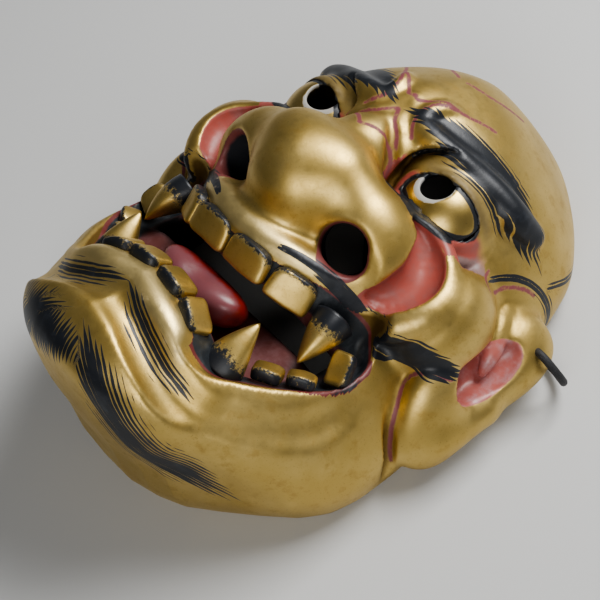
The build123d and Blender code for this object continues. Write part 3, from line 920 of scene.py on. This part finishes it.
TEETH = [
    ("upper_tooth_inner", (9.8, -26.0, 74.6), (9.8, -32.6, 68.8), (1, 0.03, -0.02), 18.6, 4.6),
    ("upper_tooth_outer", (26.6, -22.0, 68.2), (26.4, -29.8, 63), (0.77, 0.23, -0.6), 16.8, 4.6),
    ("upper_tooth_back", (54, -27.5, 50.5), (48.5, -29.5, 50), (0.5, -0.77, -0.4), 12, 4.2),
    ("lower_tooth_inner", (7.2, -56, 84), (7.2, -50.8, 78), (1, -0.1, -0.1), 13.2, 4.6),
    ("lower_tooth_outer", (20, -59, 81), (20.6, -53.8, 75), (0.84, -0.36, -0.4), 12.8, 4.6),
    ("lower_tooth_front_molar", (42, -49.6, 59.2), (39.2, -46, 56.3), (0.77, 0.57, -0.26), 10.5, 4.5),
    ("lower_tooth_rear_molar", (49.6, -42, 55), (46.8, -39.2, 52.5), (0.78, 0.57, -0.26), 10, 4),
]
FANGS = [
    ("upper_fang", (40.5, -19, 57.5), (43.5, -38.5, 56), 7.0, (0.6, 0, 1.2)),
    ("lower_fang", (31.5, -59.5, 62.5), (33.4, -41.9, 72.4), 7.8, (0, -0.8, 0.6)),
]
for side_name, side in (("left", 1), ("right", -1)):
    for i, (name, gum, edge, along, width, thickness) in enumerate(TEETH):
        tooth(f"{name}_{side_name}", gum, edge, along, width, thickness, side, i + side)
    for name, base, tip, width, bend in FANGS:
        fang(f"{name}_{side_name}", base, tip, width, side, bend)


def eye_plate(name, side):
    """Domed plate with a round pupil hole whose edge is turned in."""
    hole = np.array((-0.6, 0.2, 17.99)) / EYE_R
    hole = hole / np.linalg.norm(hole)
    across = np.cross(hole, (0, 1, 0))
    across = across / np.linalg.norm(across)
    along = np.cross(across, hole)
    start, end = math.asin(6.3 / EYE_R), 1.25
    lip = [(2.2, 0.05), (1.2, 0.01), (0.4, 0), (0.08, 0.015)]
    profile = [(EYE_R - inward, start + turn) for inward, turn in lip]
    for i in range(1, 17):
        profile.append((EYE_R, start + 0.03 + (end - start - 0.03) * i / 16))
    profile += [(EYE_R - 1.6, end)]
    for i in range(10, -1, -1):
        profile.append((EYE_R - 1.6, start + 0.11 + (end - start - 0.11) * i / 11))
    around = 96
    points, faces, turned, ring = [], [], [], []
    for r, a in profile:
        for j in range(around):
            b = 2 * math.pi * j / around
            v = hole * math.cos(a) + math.sin(a) * (across * math.cos(b) + along * math.sin(b))
            points.append((EYE + r * v) * (side, 1, 1))
            turned.append(v * EYE_R)
            low = (math.cos(b) * (across @ EYE_U) + math.sin(b) * (along @ EYE_U)) * -0.75
            low -= (math.cos(b) * (across @ EYE_V) + math.sin(b) * (along @ EYE_V)) * 0.65
            ring.append(EYE_R * (a - start) - 1.7 * max(low, 0) ** 0.7)
    turned = np.array(turned)
    border = outline(eye_smooth, turned @ EYE_U, turned @ EYE_V)
    border = np.where(turned @ EYE_N > 0, border, 9)
    for i in range(len(profile)):
        for j in range(around):
            k = (j + 1) % around
            m = (i + 1) % len(profile)
            faces.append((i * around + j, m * around + j, m * around + k, i * around + k))
    if side < 0:
        faces = [face[::-1] for face in faces]
    return piece(name, points, faces, "eye_gilt_metal", name, eye_paint, ring=ring, border=border)


for side_name, side in (("left", 1), ("right", -1)):
    eye_plate(f"eye_plate_{side_name}", side)


def tongue():
    """Raised tongue with rolled edges and a groove down its middle, lying behind the lower teeth."""
    grid, faces = ball_grid(25, 48)
    points, grow = [], []
    for lat, lon in grid:
        u = math.cos(lat) * math.cos(lon)
        v = math.cos(lat) * math.sin(lon)
        n = math.sin(lat)
        lift = 2.0 * u * u - 1.8 * math.exp(-((u / 0.22) ** 2)) * max(n, 0)
        points.append((20 * power(u, 0.85), -44 + 8.5 * v + 2.5 * u * u, 60 + 10.5 * power(n, 0.8) + lift - 2.6 * v))
        grow.append(0.75 * n - 0.55 * v)
    return piece("tongue_red", points, faces, "tongue_red", "tongue", tongue_paint, grow=grow)


tongue()


def knot(name, place, side):
    """Overhand knot: a trefoil of cord drawn tight."""
    around, count, r = 12, 90, 1.45
    centre = np.array(place, float)
    points, faces = [], []
    path = []
    for i in range(count):
        t = 2 * math.pi * i / count
        flat = ((math.sin(t) + 2 * math.sin(2 * t)) / 3, (math.cos(t) - 2 * math.cos(2 * t)) / 3, -math.sin(3 * t))
        path.append(centre + np.array(flat) * (2.9, 2.7, 1.5))
    path = np.array(path)
    ahead = np.roll(path, -1, 0) - np.roll(path, 1, 0)
    for i in range(count):
        t = ahead[i] / np.linalg.norm(ahead[i])
        a = np.cross(t, centre - path[i])
        a = a / np.linalg.norm(a)
        b = np.cross(t, a)
        for j in range(around):
            turn = 2 * math.pi * j / around
            bump = 1 + 0.07 * math.cos(2 * turn + i * 1.4)
            points.append((path[i] + r * bump * (a * math.cos(turn) + b * math.sin(turn))) * (side, 1, 1))
    for i in range(count):
        for j in range(around):
            k, m = (j + 1) % around, (i + 1) % count
            faces.append((i * around + j, i * around + k, m * around + k, m * around + j))
    if side < 0:
        faces = [face[::-1] for face in faces]
    return piece(f"{name}_tied", points, faces, "cord_black", name, cord_paint)


for side_name, side in (("left", 1), ("right", -1)):
    knot(f"cord_knot_{side_name}", CORD_LEFT[0], side)

# ---------------------------------------------------------------- floor and light
floor_mesh = bpy.data.meshes.new("floor")
floor_mesh.from_pydata([(-3, -3, 0), (3, -3, 0), (3, 3, 0), (-3, 3, 0)], [], [(0, 1, 2, 3)])
floor = bpy.data.objects.new("floor", floor_mesh)
bpy.context.collection.objects.link(floor)
paper = bpy.data.materials.new("floor_paper")
paper.use_nodes = True
paper.node_tree.nodes["Principled BSDF"].inputs["Base Color"].default_value = (0.55, 0.55, 0.54, 1)
paper.node_tree.nodes["Principled BSDF"].inputs["Roughness"].default_value = 0.8
floor_mesh.materials.append(paper)

world = bpy.data.worlds.new("studio")
world.use_nodes = True
world.node_tree.nodes["Background"].inputs["Color"].default_value = (0.6, 0.62, 0.65, 1)
world.node_tree.nodes["Background"].inputs["Strength"].default_value = 0.15
bpy.context.scene.world = world


def softbox(name, place, target, size, power):
    light = bpy.data.lights.new(name, "AREA")
    light.shape = "RECTANGLE"
    light.size, light.size_y = size
    light.energy = power
    lamp = bpy.data.objects.new(name, light)
    bpy.context.collection.objects.link(lamp)
    lamp.location = place
    lamp.rotation_euler = (Vector(target) - Vector(place)).to_track_quat("-Z", "Y").to_euler()


softbox("key", (0.1, 0.5, 0.7), (0, 0, 0.05), (0.5, 0.4), 9)
softbox("fill", (0.6, -0.6, 0.6), (0, 0, 0.05), (0.5, 0.5), 4)

scene = bpy.context.scene
scene.view_settings.view_transform = "AgX"
scene.view_settings.look = "AgX - Medium High Contrast"
